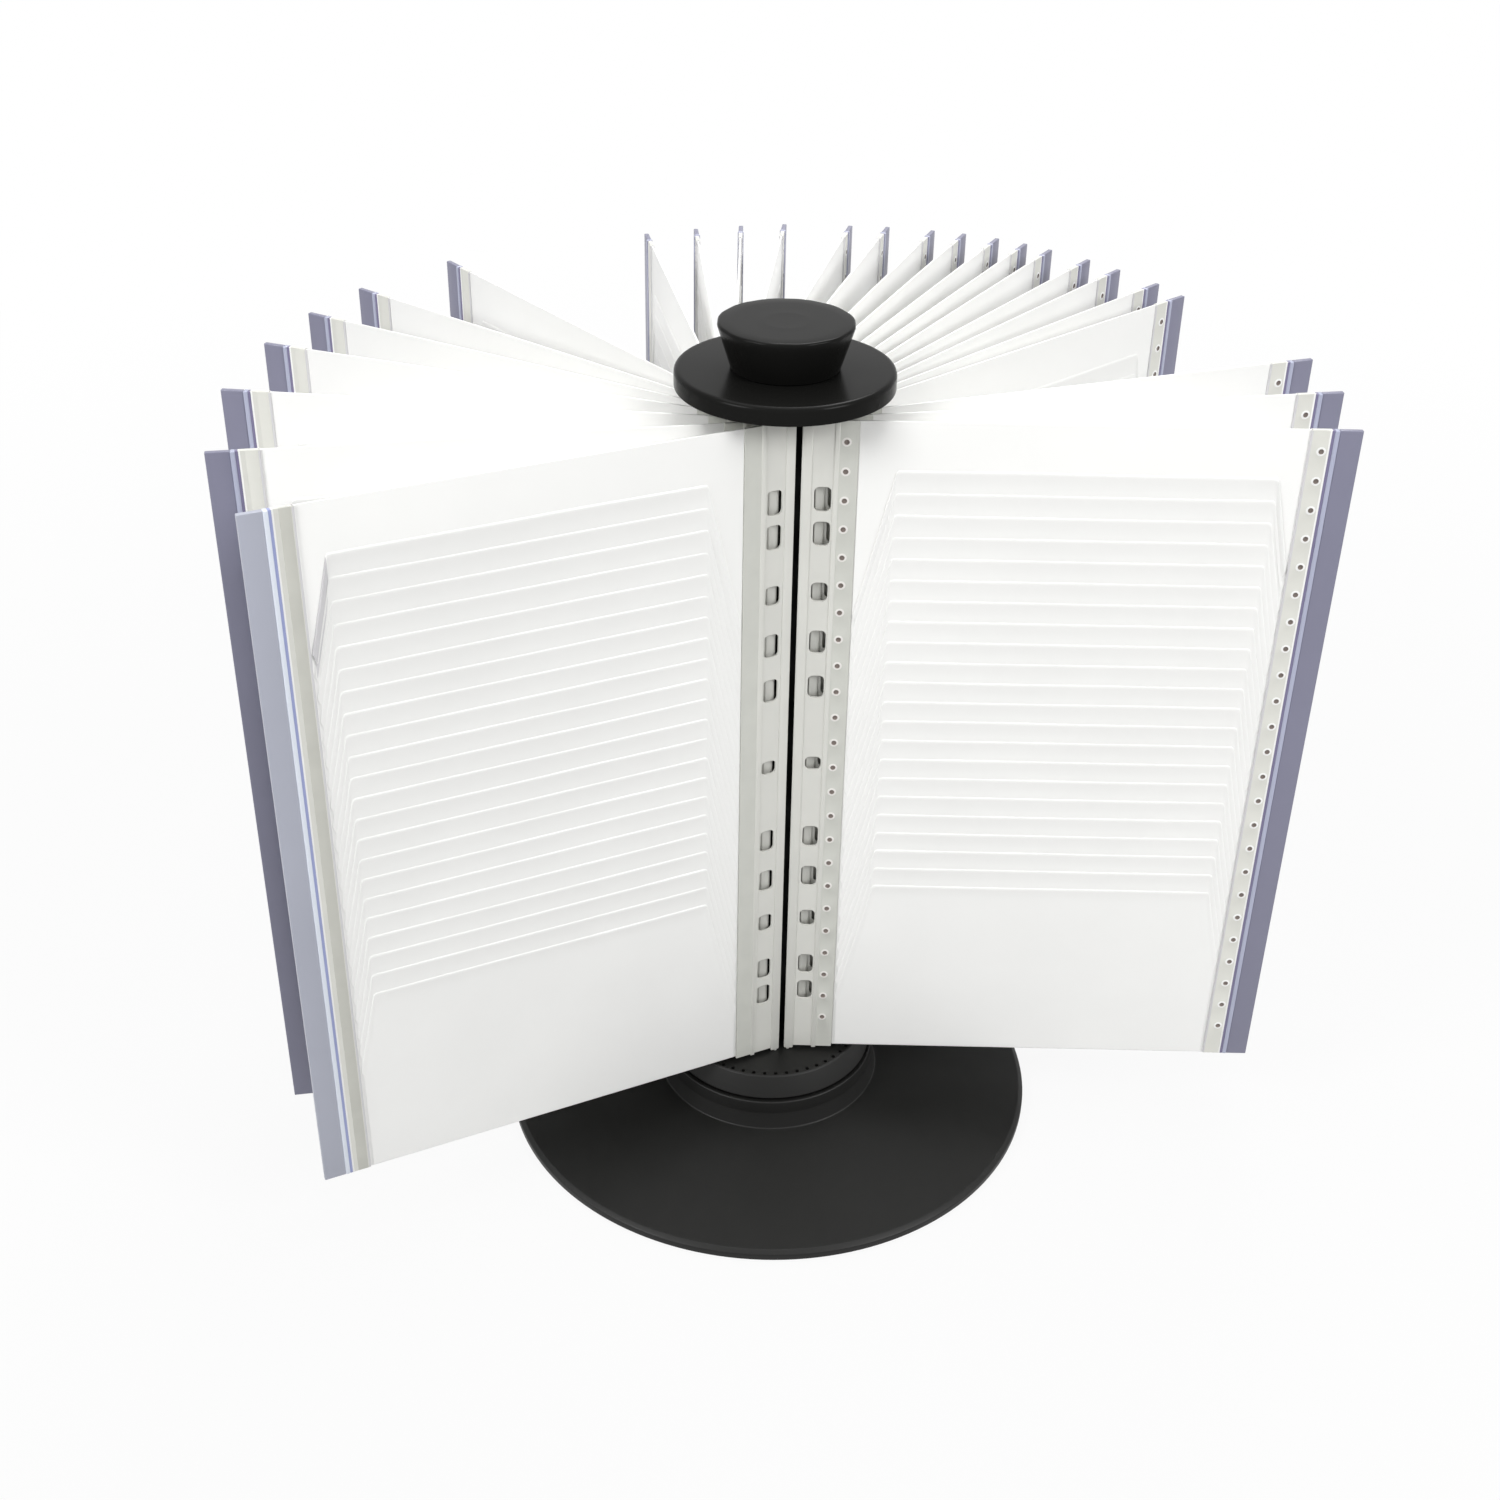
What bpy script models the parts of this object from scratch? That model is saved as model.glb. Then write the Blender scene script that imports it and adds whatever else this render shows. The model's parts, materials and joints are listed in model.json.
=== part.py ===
"""Filing carousel: pocket panels that swing on a ring of pins round a turning column.

Lengths are in millimetres and angles in degrees, scaled where a mesh is made. Z is up, the
carousel turns about the Z axis, the table is at height 0 and the open front faces -Y.
"""

import math

import bmesh
import bpy
from mathutils import Matrix, Vector

MM = 0.001

# Clearances
SEAT_GAP = 0.3
RUNNING_GAP = 0.15
TURN_GAP = 1.2
CUT_OVER = 1.0

# Base, from the table up
BASE_R = 121.0
BASE_LIFT = 0.8
BASE_RIM_H = 3.0
BASE_EDGE_IN = 2.1
BASE_EDGE_H = 1.4
BASE_CROWN_H = 5.8
BASE_PLATE_H = 6.7
COLLAR_R = 50.6
COLLAR_WAIST_IN = 1.9
COLLAR_TOP_IN = 2.5
COLLAR_H = 13.3
COLLAR_WAIST_H = 7.5
COLLAR_WALL = 3.0
HUB_R = 14.0
HUB_DROP = 0.8
FOOT_INSET = 8.0
FOOT_WIDTH = 14.0
FOOT_GROOVE = 1.7

# Spindle and its washer and ring
SPINDLE_R = 6.0
SPINDLE_HEAD_R = 11.0
SPINDLE_HEAD_H = 2.4
SPINDLE_END_H = 4.0
SPINDLE_TAPER = 1.0
RING_GROOVE_DEPTH = 0.8
RING_GROOVE_H = 2.0
RING_WIDTH = 4.3
WASHER_WIDTH = 5.7
WASHER_H = 2.0

# Drum, the lower turntable
DRUM_H = 9.8
DRUM_TAPER = 3.9
DRUM_EDGE = 0.5
DRUM_WALL = 1.6
DECK_H = 3.6
SPIGOT_H = 3.7

# Ring of hinges, with the column inside it
PANEL_COUNT = 25
HINGE_RING_R = 24.0
FIRST_HINGE = 277.2
COLUMN_INSET = 8.0
COLUMN_WALL = 4.0
COLUMN_HEAD_H = 18.0

# Top disc and clamp knob
DISC_H = 10.5
DISC_RIM_LIFT = 3.2
DISC_PLATE_H = 4.0
DISC_RIM_WALL = 2.6
DISC_EDGE_IN = 2.1
DISC_EDGE_H = 1.8
DISC_BOSS_WIDTH = 6.0
STUD_R = 4.0
STUD_LENGTH = 38.0
KNOB_FLATS = 12
KNOB_R = 26.7
KNOB_TAPER = 4.9
KNOB_H = 18.0
KNOB_EDGE = 0.8
KNOB_BORE_DEPTH = 12.0

# Panels: distances along a panel run from its hinge pins outwards
PANEL_H = 305.0
RIB_EXTRA = 1.5
RIB_BACK = 1.7
RIB_FRONT = 3.7
RIB_HALF = 1.0
RIB_ROUND = 0.8
RIB_BACK_HALF = 0.45
RIB_NOSE = 1.2
PIN_R = 0.8
PIN_LENGTH = 2.0
WEB_WIDTH = 7.0
WEB_HALF = 0.5
RIDGE_WIDTH = 2.0
RIDGE_HALF = 0.9
STRIP_WIDTH = 7.1
STRIP_HALF = 0.7
GROOVE_DEPTH = 5.8
GROOVE_HALF = 0.32
TONGUE_HALF = 0.17
SHEET_WIDTH = 170.2
SHEET_DROP = 1.1
OUTER_STRIP_WIDTH = 7.8
CHANNEL_WIDTH = 11.7
CHANNEL_HALF = 1.4
CHANNEL_FOLD = 3.6
CHANNEL_EDGE_HALF = 1.0

# Filing slots in the spine's web: distance from its middle and height of each pair
SLOT_WIDTH = 5.6
SLOT_MARGIN = 0.8
SLOT_PAIRS = ((36.8, 10.4), (57.5, 10.4), (80.0, 8.4), (105.4, 10.4), (120.0, 10.4))
MIDDLE_HOLE = 6.4

# Pockets on each face of a leaf: thin header above them, sides that flare by an angle
POCKET_HALF = 0.9
HEADER_HALF = 0.42
HEADER_H = 20.0
POCKET_INNER_INSET = 15.0
POCKET_OUTER_INSET = 9.4
POCKET_FLARE = 13.0

# Direction in which each panel stands, from the front left one clockwise to the front right one
PANEL_DIRECTIONS = (
    206.8, 191.7, 175.3, 161.6, 151.6, 142.4, 128.9, 102.1, 96.0, 90.8, 86.1, 78.6, 75.1,
    70.6, 68.0, 65.1, 62.7, 60.5, 56.1, 52.4, 46.9, 42.8, 19.8, 10.6, 0.5,
)

# Sides of the turned pieces
WIDE_STEPS = 32
DRUM_STEPS = 28
SMALL_STEPS = 14
PIN_STEPS = 5

# Sizes that follow from those above
COLLAR_FOOT = BASE_LIFT + BASE_RIM_H + BASE_EDGE_H + BASE_CROWN_H
COLLAR_TOP = COLLAR_FOOT + COLLAR_H
COLLAR_TOP_R = COLLAR_R - COLLAR_TOP_IN
HUB_TOP = COLLAR_TOP - HUB_DROP
DRUM_LOW = COLLAR_TOP + TURN_GAP
DRUM_FOOT_R = COLLAR_TOP_R - TURN_GAP
DECK_R = DRUM_FOOT_R - DRUM_TAPER
DECK_TOP = DRUM_LOW + DRUM_H
SPIGOT_TOP = DECK_TOP + SPIGOT_H
COLUMN_R = HINGE_RING_R - COLUMN_INSET
RIB_LOW = DECK_TOP + SEAT_GAP
PANEL_LOW = RIB_LOW + RIB_EXTRA
PANEL_HIGH = PANEL_LOW + PANEL_H
RIB_HIGH = PANEL_HIGH + RIB_EXTRA
BOSS_LOW = RIB_HIGH + SEAT_GAP
DISC_TOP = BOSS_LOW + DISC_H
KNOB_FOOT = DISC_TOP + SEAT_GAP
SPINDLE_BORE_R = SPINDLE_R + RUNNING_GAP
STUD_BORE_R = STUD_R + RUNNING_GAP
PIN_HOLE_R = PIN_R + 2 * RUNNING_GAP
WEB_END = RIB_FRONT + WEB_WIDTH
RIDGE_END = WEB_END + RIDGE_WIDTH
STRIP_END = RIDGE_END + STRIP_WIDTH
SHEET_END = STRIP_END + SHEET_WIDTH
OUTER_STRIP_END = SHEET_END + OUTER_STRIP_WIDTH
PANEL_REACH = OUTER_STRIP_END + CHANNEL_WIDTH


def clear_scene():
    """Remove what the startup scene holds."""
    for obj in list(bpy.data.objects):
        bpy.data.objects.remove(obj, do_unlink=True)


def make_material(name, color, roughness, metallic=0.0):
    """Return a Principled material."""
    material = bpy.data.materials.new(name)
    material.use_nodes = True
    shader = material.node_tree.nodes["Principled BSDF"]
    shader.inputs["Base Color"].default_value = (*color, 1.0)
    shader.inputs["Roughness"].default_value = roughness
    shader.inputs["Metallic"].default_value = metallic
    return material


def add_object(name, mesh, material):
    """Link a mesh as a named object with one material."""
    if not mesh.materials:
        mesh.materials.append(material)
    obj = bpy.data.objects.new(name, mesh)
    bpy.context.scene.collection.objects.link(obj)
    return obj


def finish_mesh(name, shape, smooth_angle=None):
    """Turn a bmesh into a mesh with outward faces, smooth where an angle is given."""
    bmesh.ops.recalc_face_normals(shape, faces=shape.faces)
    mesh = bpy.data.meshes.new(name)
    shape.to_mesh(mesh)
    shape.free()
    if smooth_angle is not None:
        mesh.shade_smooth()
        mesh.set_sharp_from_angle(angle=math.radians(smooth_angle))
    return mesh


def turned(name, profile, steps, smooth=True):
    """Revolve a closed outline of (radius, height) points about the Z axis."""
    shape = bmesh.new()
    corners = [shape.verts.new((r * MM, 0.0, z * MM)) for r, z in profile]
    edges = []
    for index, corner in enumerate(corners):
        following = corners[(index + 1) % len(corners)]
        on_axis = profile[index][0] == 0 and profile[(index + 1) % len(profile)][0] == 0
        if not on_axis:
            edges.append(shape.edges.new((corner, following)))
    bmesh.ops.spin(
        shape,
        geom=corners + edges,
        cent=(0, 0, 0),
        axis=(0, 0, 1),
        angle=math.tau,
        steps=steps,
        use_merge=True,
    )
    bmesh.ops.remove_doubles(shape, verts=shape.verts, dist=1e-6)
    return finish_mesh(name, shape, 35 if smooth else None)


def prism(name, outline, low, high):
    """Extrude an outline of (along, across) points from height low to height high."""
    shape = bmesh.new()
    corners = [shape.verts.new((a * MM, b * MM, low * MM)) for a, b in outline]
    face = shape.faces.new(corners)
    grown = bmesh.ops.extrude_face_region(shape, geom=[face])
    moved = [item for item in grown["geom"] if isinstance(item, bmesh.types.BMVert)]
    bmesh.ops.translate(shape, verts=moved, vec=(0, 0, (high - low) * MM))
    return finish_mesh(name, shape)


def pin(name, radius, low, high, steps):
    """Make an upright round pin on the Z axis."""
    shape = bmesh.new()
    bmesh.ops.create_cone(
        shape,
        cap_ends=True,
        segments=steps,
        radius1=radius * MM,
        radius2=radius * MM,
        depth=(high - low) * MM,
        matrix=Matrix.Translation((0, 0, (high + low) / 2 * MM)),
    )
    return finish_mesh(name, shape)


def mirrored(half_outline):
    """Close a half outline of (along, half thickness) points with its mirror image."""
    return half_outline + [(a, -b) for a, b in reversed(half_outline)]


def helper(name, mesh):
    """Link a mesh as a hidden helper for a Boolean."""
    obj = bpy.data.objects.new(name, mesh)
    obj.hide_render = True
    obj.display_type = "WIRE"
    bpy.context.scene.collection.objects.link(obj)
    return obj


def combined(name, body_mesh, joined=(), cut=()):
    """Join meshes to a body and cut others from it, and return the resulting mesh."""
    body = helper(name, body_mesh)
    others = []
    for operation, meshes in (("UNION", joined), ("DIFFERENCE", cut)):
        for index, mesh in enumerate(meshes):
            other = helper(f"{name}_{operation.lower()}_{index}", mesh)
            change = body.modifiers.new(other.name, "BOOLEAN")
            change.operation = operation
            change.solver = "EXACT"
            change.object = other
            others.append(other)
    graph = bpy.context.evaluated_depsgraph_get()
    result = bpy.data.meshes.new_from_object(body.evaluated_get(graph), depsgraph=graph)
    result.name = name
    for obj in [body, *others]:
        bpy.data.objects.remove(obj, do_unlink=True)
    return result


def hinge_angle(index):
    """Angle on the ring of the hinge of one panel."""
    return FIRST_HINGE - index * 360 / PANEL_COUNT


def ring_of_holes(name, low, high):
    """Make one mesh of the cutters for the pin holes, one on each hinge of the ring."""
    shape = bmesh.new()
    for index in range(PANEL_COUNT):
        angle = math.radians(hinge_angle(index))
        place = Vector((HINGE_RING_R * math.cos(angle), HINGE_RING_R * math.sin(angle), (low + high) / 2))
        bmesh.ops.create_cone(
            shape,
            cap_ends=True,
            segments=PIN_STEPS,
            radius1=PIN_HOLE_R * MM,
            radius2=PIN_HOLE_R * MM,
            depth=(high - low) * MM,
            matrix=Matrix.Translation(place * MM) @ Matrix.Rotation(angle, 4, "Z"),
        )
    return finish_mesh(name, shape)


def build_base(black, rubber, steel, nylon):
    """Make the fixed base with its rubber ring, spindle, thrust washer and retaining ring."""
    head_top = BASE_LIFT + SPINDLE_HEAD_H
    floor = BASE_LIFT + BASE_PLATE_H
    rim_top = BASE_LIFT + BASE_RIM_H
    foot_r = BASE_R - FOOT_INSET
    groove_top = BASE_LIFT + FOOT_GROOVE
    outline = [
        (SPINDLE_BORE_R, head_top + SEAT_GAP),
        (SPINDLE_BORE_R, HUB_TOP),
        (HUB_R, HUB_TOP),
        (HUB_R, floor),
        (COLLAR_R - COLLAR_WALL, floor),
        (COLLAR_TOP_R - COLLAR_WALL, COLLAR_TOP),
        (COLLAR_TOP_R, COLLAR_TOP),
        (COLLAR_R - COLLAR_WAIST_IN, COLLAR_FOOT + COLLAR_WAIST_H),
        (COLLAR_R, COLLAR_FOOT),
        (BASE_R - BASE_EDGE_IN, rim_top + BASE_EDGE_H),
        (BASE_R, rim_top),
        (BASE_R, BASE_LIFT),
        (foot_r, BASE_LIFT),
        (foot_r, groove_top),
        (foot_r - FOOT_WIDTH, groove_top),
        (foot_r - FOOT_WIDTH, BASE_LIFT),
        (SPINDLE_HEAD_R + SEAT_GAP, BASE_LIFT),
        (SPINDLE_HEAD_R + SEAT_GAP, head_top + SEAT_GAP),
    ]
    add_object("base_plate", turned("base_plate", outline, WIDE_STEPS), black)

    inner_r = foot_r - FOOT_WIDTH + SEAT_GAP
    outline = [
        (inner_r, 0),
        (foot_r - SEAT_GAP, 0),
        (foot_r - SEAT_GAP, groove_top - SEAT_GAP),
        (inner_r, groove_top - SEAT_GAP),
    ]
    add_object("foot_ring", turned("foot_ring", outline, WIDE_STEPS), rubber)

    groove_r = SPINDLE_R - RING_GROOVE_DEPTH
    spindle_top = SPIGOT_TOP + RING_GROOVE_H + SPINDLE_END_H
    outline = [
        (0, BASE_LIFT),
        (SPINDLE_HEAD_R, BASE_LIFT),
        (SPINDLE_HEAD_R, head_top),
        (SPINDLE_R, head_top),
        (SPINDLE_R, SPIGOT_TOP),
        (groove_r, SPIGOT_TOP),
        (groove_r, SPIGOT_TOP + RING_GROOVE_H),
        (SPINDLE_R, SPIGOT_TOP + RING_GROOVE_H),
        (SPINDLE_R, spindle_top - SPINDLE_TAPER),
        (SPINDLE_R - SPINDLE_TAPER, spindle_top),
        (0, spindle_top),
    ]
    add_object("spindle", turned("spindle", outline, SMALL_STEPS), steel)

    ring_low = SPIGOT_TOP + SEAT_GAP
    ring = collar_ring("retaining_ring", groove_r + RUNNING_GAP, RING_WIDTH, ring_low, RING_GROOVE_H - 2 * SEAT_GAP)
    add_object("retaining_ring", ring, steel)

    washer = collar_ring("thrust_washer", SPINDLE_R + SEAT_GAP, WASHER_WIDTH, HUB_TOP + SEAT_GAP, WASHER_H)
    add_object("thrust_washer", washer, nylon)


def collar_ring(name, inner_r, width, low, height):
    """Make a flat ring round the spindle."""
    outer_r = inner_r + width
    high = low + height
    outline = [(inner_r, low), (outer_r, low), (outer_r, high), (inner_r, high)]
    return turned(name, outline, SMALL_STEPS)


def build_carousel(black):
    """Make the drum, the column and the top disc, which turn together."""
    hub_r = SPINDLE_R + SEAT_GAP + WASHER_WIDTH
    hub_low = HUB_TOP + 2 * SEAT_GAP + WASHER_H
    deck_low = DECK_TOP - DECK_H
    spigot_r = COLUMN_R - COLUMN_WALL - SEAT_GAP
    outline = [
        (SPINDLE_BORE_R, hub_low),
        (SPINDLE_BORE_R, SPIGOT_TOP),
        (spigot_r, SPIGOT_TOP),
        (spigot_r, DECK_TOP),
        (DECK_R - DRUM_EDGE, DECK_TOP),
        (DECK_R, DECK_TOP - DRUM_EDGE),
        (DRUM_FOOT_R, DRUM_LOW),
        (DRUM_FOOT_R - DRUM_WALL, DRUM_LOW),
        (DECK_R - DRUM_WALL, deck_low),
        (hub_r, deck_low),
        (hub_r, hub_low),
    ]
    holes = ring_of_holes("drum_holes", RIB_LOW - PIN_LENGTH - SEAT_GAP, RIB_LOW)
    drum = combined("drum", turned("drum_body", outline, DRUM_STEPS), cut=[holes])
    add_object("drum", drum, black)

    outline = [
        (STUD_BORE_R, RIB_HIGH - COLUMN_HEAD_H),
        (STUD_BORE_R, RIB_HIGH),
        (COLUMN_R, RIB_HIGH),
        (COLUMN_R, RIB_LOW),
        (COLUMN_R - COLUMN_WALL, RIB_LOW),
        (COLUMN_R - COLUMN_WALL, RIB_HIGH - COLUMN_HEAD_H),
    ]
    add_object("column", turned("column", outline, SMALL_STEPS), black)

    boss_r = HINGE_RING_R + DISC_BOSS_WIDTH
    plate_low = DISC_TOP - DISC_PLATE_H
    rim_low = BOSS_LOW + DISC_RIM_LIFT
    outline = [
        (STUD_BORE_R, BOSS_LOW),
        (boss_r, BOSS_LOW),
        (boss_r, plate_low),
        (DECK_R - DISC_RIM_WALL, plate_low),
        (DECK_R - DISC_RIM_WALL, rim_low),
        (DECK_R, rim_low),
        (DECK_R, DISC_TOP - DISC_EDGE_H),
        (DECK_R - DISC_EDGE_IN / 3, DISC_TOP - DISC_EDGE_H / 3),
        (DECK_R - DISC_EDGE_IN, DISC_TOP),
        (STUD_BORE_R, DISC_TOP),
    ]
    holes = ring_of_holes("disc_holes", RIB_HIGH, RIB_HIGH + PIN_LENGTH + SEAT_GAP)
    disc = combined("top_disc", turned("disc_body", outline, WIDE_STEPS), cut=[holes])
    add_object("top_disc", disc, black)


def build_knob(black, steel):
    """Make the flat-sided clamp knob and its stud, which screws into the head of the column."""
    knob_top = KNOB_FOOT + KNOB_H
    bore_top = KNOB_FOOT + KNOB_BORE_DEPTH
    outline = [
        (0, bore_top),
        (STUD_BORE_R, bore_top),
        (STUD_BORE_R, KNOB_FOOT),
        (KNOB_R - KNOB_TAPER, KNOB_FOOT),
        (KNOB_R, knob_top - KNOB_EDGE),
        (KNOB_R - KNOB_EDGE, knob_top),
        (0, knob_top),
    ]
    knob = add_object("clamp_knob", turned("clamp_knob", outline, KNOB_FLATS, False), black)
    knob.rotation_euler.z = math.pi / KNOB_FLATS

    stud_top = bore_top - SEAT_GAP
    stud = pin("clamp_stud", STUD_R, stud_top - STUD_LENGTH, stud_top, SMALL_STEPS)
    add_object("clamp_stud", stud, steel)


def spine_mesh():
    """Make a panel's moulded spine: pivot rib with pins, slotted web, ridge and grooved strip."""
    rib = mirrored([
        (-RIB_BACK, RIB_BACK_HALF),
        (-RIB_BACK + RIB_ROUND, RIB_HALF),
        (RIB_FRONT - RIB_NOSE, RIB_HALF),
    ])
    rib.insert(len(rib) // 2, (RIB_FRONT, 0))
    web = mirrored([
        (RIB_FRONT - RIB_NOSE, WEB_HALF),
        (WEB_END, WEB_HALF),
        (WEB_END + RIDGE_WIDTH / 2, RIDGE_HALF),
        (RIDGE_END, STRIP_HALF),
        (STRIP_END, STRIP_HALF),
        (STRIP_END, GROOVE_HALF),
        (STRIP_END - GROOVE_DEPTH, GROOVE_HALF),
    ])
    return combined(
        "spine",
        prism("spine_rib", rib, RIB_LOW, RIB_HIGH),
        joined=[
            prism("spine_web", web, PANEL_LOW, PANEL_HIGH),
            pin("pin_low", PIN_R, RIB_LOW - PIN_LENGTH, RIB_LOW + PIN_LENGTH, PIN_STEPS),
            pin("pin_high", PIN_R, RIB_HIGH - PIN_LENGTH, RIB_HIGH + PIN_LENGTH, PIN_STEPS),
        ],
        cut=[spine_slots()],
    )


def spine_slots():
    """Make one mesh of the cutters for the filing slots, in pairs about the spine's middle."""
    middle = (PANEL_LOW + PANEL_HIGH) / 2
    centres = [(middle, MIDDLE_HOLE)]
    for offset, height in SLOT_PAIRS:
        centres += [(middle - offset, height), (middle + offset, height)]
    along = RIB_FRONT + SLOT_MARGIN + SLOT_WIDTH / 2
    shape = bmesh.new()
    for centre, height in centres:
        size = Matrix.Diagonal(Vector((SLOT_WIDTH, 2 * (WEB_HALF + CUT_OVER), height)) * MM).to_4x4()
        place = Matrix.Translation(Vector((along, 0, centre)) * MM)
        bmesh.ops.create_cube(shape, size=1.0, matrix=place @ size)
    return finish_mesh("spine_slots", shape)


def header_recess(low, high):
    """Make the cutter that thins a leaf above its pockets, whose stack flares downwards.

    It runs from depth low to depth high, measured square to the sheet.
    """
    flare = math.tan(math.radians(POCKET_FLARE))
    pocket_top = PANEL_HIGH - HEADER_H
    over = PANEL_HIGH + CUT_OVER
    before = STRIP_END - CUT_OVER
    inner_corner = STRIP_END + POCKET_INNER_INSET
    outline = [
        (before, pocket_top - (inner_corner - before) / flare),
        (inner_corner, pocket_top),
        (SHEET_END - POCKET_OUTER_INSET, pocket_top),
        (SHEET_END, pocket_top - POCKET_OUTER_INSET / flare),
        (SHEET_END, over),
        (before, over),
    ]
    mesh = prism("header_recess", outline, low, high)
    mesh.transform(Matrix.Rotation(math.pi / 2, 4, "X"))
    return mesh


def leaf_mesh():
    """Make a panel's leaf: tongue, pocketed sheet, outer strip and label channel."""
    inner = STRIP_END + SEAT_GAP
    tongue = STRIP_END - GROOVE_DEPTH + SEAT_GAP
    outline = mirrored([
        (tongue, TONGUE_HALF),
        (inner, TONGUE_HALF),
        (inner, POCKET_HALF),
        (OUTER_STRIP_END, POCKET_HALF),
        (OUTER_STRIP_END, CHANNEL_HALF),
        (OUTER_STRIP_END + CHANNEL_FOLD, CHANNEL_HALF),
        (PANEL_REACH, CHANNEL_EDGE_HALF),
    ])
    beyond = POCKET_HALF + CUT_OVER
    return combined(
        "leaf",
        prism("leaf_sheet", outline, PANEL_LOW + SHEET_DROP, PANEL_HIGH),
        cut=[header_recess(HEADER_HALF, beyond), header_recess(-beyond, -HEADER_HALF)],
    )


def build_panels(white, film):
    """Place a spine and its leaf on every hinge, turned to the panel's resting direction."""
    spine = spine_mesh()
    leaf = leaf_mesh()
    for index, direction in enumerate(PANEL_DIRECTIONS):
        angle = math.radians(hinge_angle(index))
        place = Vector((math.cos(angle), math.sin(angle), 0)) * HINGE_RING_R * MM
        for name, mesh, material in (("spine", spine, white), ("leaf", leaf, film)):
            obj = add_object(f"{name}_{index + 1:02d}", mesh, material)
            obj.location = place
            obj.rotation_euler.z = math.radians(direction)


def main():
    clear_scene()
    black = make_material("black_plastic", (0.022, 0.022, 0.021), 0.32)
    rubber = make_material("foot_rubber", (0.03, 0.03, 0.03), 0.85)
    steel = make_material("bright_steel", (0.6, 0.6, 0.6), 0.25, 1.0)
    nylon = make_material("nylon", (0.8, 0.79, 0.74), 0.45)
    white = make_material("white_plastic", (0.67, 0.67, 0.64), 0.4)
    film = make_material("pocket_film", (0.82, 0.82, 0.81), 0.3)
    build_base(black, rubber, steel, nylon)
    build_carousel(black)
    build_knob(black, steel)
    build_panels(white, film)


main()
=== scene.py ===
"""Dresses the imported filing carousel: moulded black stand, white spines, film pockets and label edges."""

import json
import math

import bmesh
import bpy
from mathutils import Matrix, Vector, noise

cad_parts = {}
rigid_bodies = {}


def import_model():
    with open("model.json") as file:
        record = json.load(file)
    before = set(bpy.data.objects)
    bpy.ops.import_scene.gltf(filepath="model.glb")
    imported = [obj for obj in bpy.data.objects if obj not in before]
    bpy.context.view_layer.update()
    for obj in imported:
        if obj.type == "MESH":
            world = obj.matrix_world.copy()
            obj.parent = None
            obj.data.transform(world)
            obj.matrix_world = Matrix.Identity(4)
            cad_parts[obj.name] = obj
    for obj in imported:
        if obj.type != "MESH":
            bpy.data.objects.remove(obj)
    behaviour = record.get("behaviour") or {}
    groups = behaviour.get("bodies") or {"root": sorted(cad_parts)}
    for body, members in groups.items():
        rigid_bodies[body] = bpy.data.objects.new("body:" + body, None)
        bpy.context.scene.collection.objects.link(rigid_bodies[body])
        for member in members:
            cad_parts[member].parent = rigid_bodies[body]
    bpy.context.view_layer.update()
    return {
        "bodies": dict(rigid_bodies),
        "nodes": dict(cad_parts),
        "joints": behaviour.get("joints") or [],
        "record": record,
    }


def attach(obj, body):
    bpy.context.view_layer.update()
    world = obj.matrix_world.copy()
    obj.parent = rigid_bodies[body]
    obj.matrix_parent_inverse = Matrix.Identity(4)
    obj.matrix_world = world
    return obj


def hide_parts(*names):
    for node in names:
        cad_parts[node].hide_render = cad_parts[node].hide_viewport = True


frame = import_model()

bl_info = {
    "name": "Filing carousel dresser",
    "version": (1, 0, 0),
    "blender": (4, 5, 0),
    "location": "3D View > Sidebar > Carousel",
    "description": "Builds the detailed pieces, finishes and stage of a filing carousel",
    "category": "Object",
}

MM = 0.001
PANELS = sorted(name for name in frame["bodies"] if name.startswith("panel_"))
HINGES = {joint["child"]: Vector(joint["pos_m"]) for joint in frame["joints"]}


def linear(hex_value):
    """Turn an sRGB hex colour into linear values with full alpha."""
    channels = [int(hex_value[place:place + 2], 16) / 255 for place in (1, 3, 5)]
    curved = [c / 12.92 if c <= 0.04045 else ((c + 0.055) / 1.055) ** 2.4 for c in channels]
    return (*curved, 1.0)


class CarouselSizes(bpy.types.PropertyGroup):
    """Sizes of the detailed pieces, in millimetres unless a unit is given."""

    turned_steps: bpy.props.IntProperty(
        name="Turned steps", description="Sides of the large turned pieces", default=160, min=24
    )
    pocket_count: bpy.props.IntProperty(
        name="Pockets", description="Pockets on each face of a leaf", default=22, min=1
    )
    pocket_pitch: bpy.props.FloatProperty(
        name="Pocket pitch", description="Height from one pocket edge to the next, mm", default=9.25
    )
    pocket_first: bpy.props.FloatProperty(
        name="First pocket edge", description="Top pocket edge above the panel's foot, mm", default=285.0
    )
    dot_count: bpy.props.IntProperty(
        name="Weld dots", description="Weld dots down each strip", default=24, min=1
    )
    dot_pitch: bpy.props.FloatProperty(
        name="Dot pitch", description="Distance between weld dots, mm", default=12.144
    )


class CarouselColours(bpy.types.PropertyGroup):
    """Colours of the finishes, from sRGB hex values."""

    black: bpy.props.FloatVectorProperty(
        name="Black", description="Moulded black of the stand", subtype="COLOR", size=4,
        min=0, max=1, default=linear("#131312"),
    )
    spine: bpy.props.FloatVectorProperty(
        name="Spine", description="Off-white of the spines", subtype="COLOR", size=4,
        min=0, max=1, default=linear("#d5d5cf"),
    )
    film: bpy.props.FloatVectorProperty(
        name="Film", description="White of the pocket film", subtype="COLOR", size=4,
        min=0, max=1, default=linear("#f4f4f2"),
    )
    label: bpy.props.FloatVectorProperty(
        name="Label edge", description="Lilac grey of the label channels", subtype="COLOR", size=4,
        min=0, max=1, default=linear("#7d7d91"),
    )


# Knob: heights and radii in mm
KNOB_TOP, KNOB_H = 372.7, 18.0
KNOB_FOOT_R, KNOB_TOP_R = 21.9, 27.6
KNOB_FLATS, KNOB_CORNER = 12, 4.4
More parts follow.
